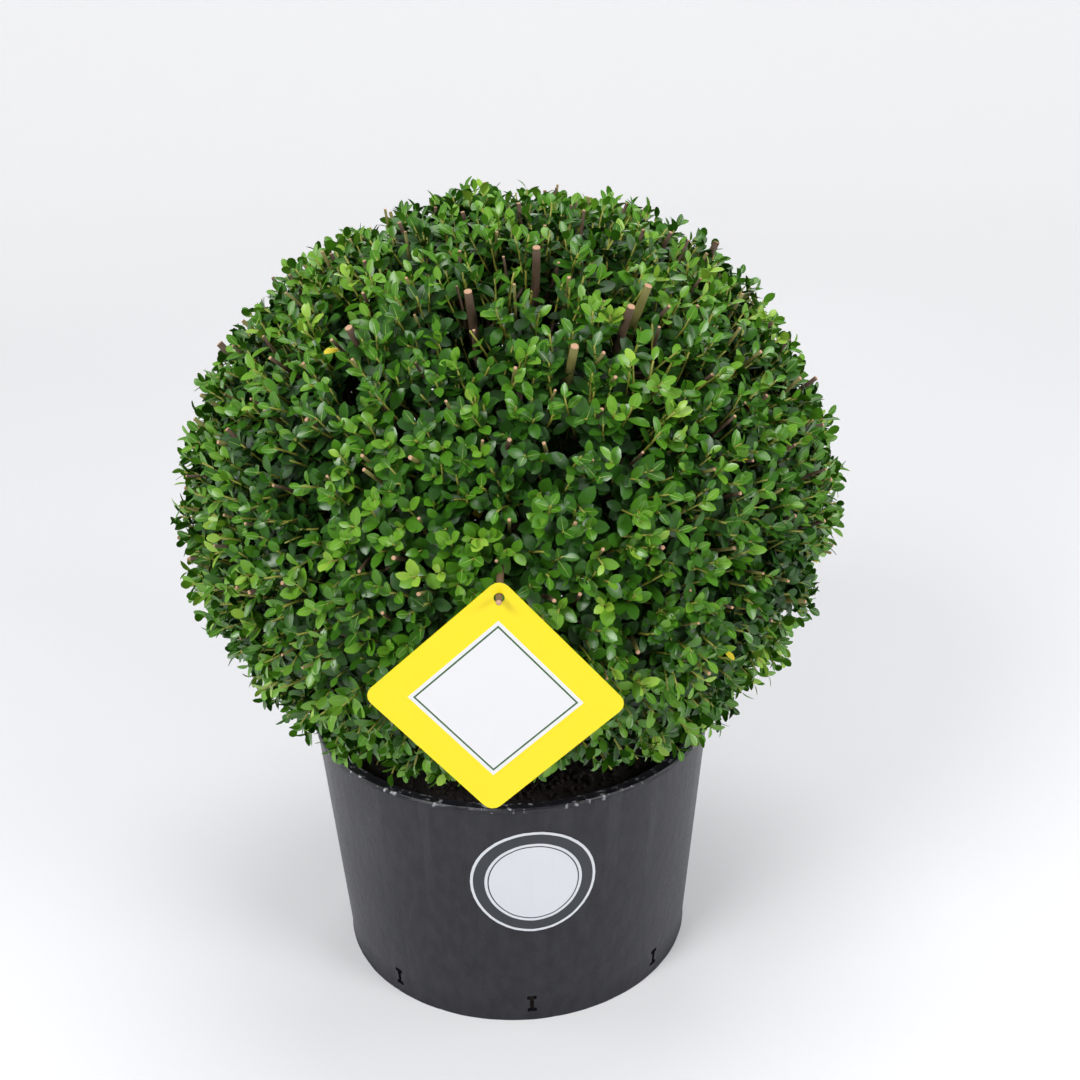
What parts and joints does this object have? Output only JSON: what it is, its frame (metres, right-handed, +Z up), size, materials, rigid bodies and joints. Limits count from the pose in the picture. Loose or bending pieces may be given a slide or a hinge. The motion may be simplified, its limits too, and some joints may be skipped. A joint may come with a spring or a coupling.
{
  "type": "japanese holly",
  "caption": "Japanese holly clipped to a round globe of small dark green leaves, rooted in a black nursery container, with a blank hang tag on a twig.",
  "frame": {"origin": "the middle of the container's flat underside", "axes": "+Z up through the crown, -Y towards the front with the tag and the label"},
  "size_m": [0.6262, 0.6412, 0.7755],
  "materials": {
    "pot_plastic": "satin moulded black polyethylene with a streaked surface",
    "potting_soil": "crumbly dark peat and bark",
    "bark": "rough grey brown bark",
    "foliage": "glossy small leaves",
    "tag_card": "smooth printed card",
    "label_film": "smooth label film"
  },
  "bodies": {
    "root": {"pot": "pot_plastic", "soil": "potting_soil", "trunk": "bark", "bough_1": "bark", "bough_2": "bark", "bough_3": "bark", "bough_4": "bark", "bough_5": "bark", "bough_6": "bark", "bough_7": "bark", "crown": "foliage", "hang_tag": "tag_card", "pot_label": "label_film"}
  },
  "joints": []
}
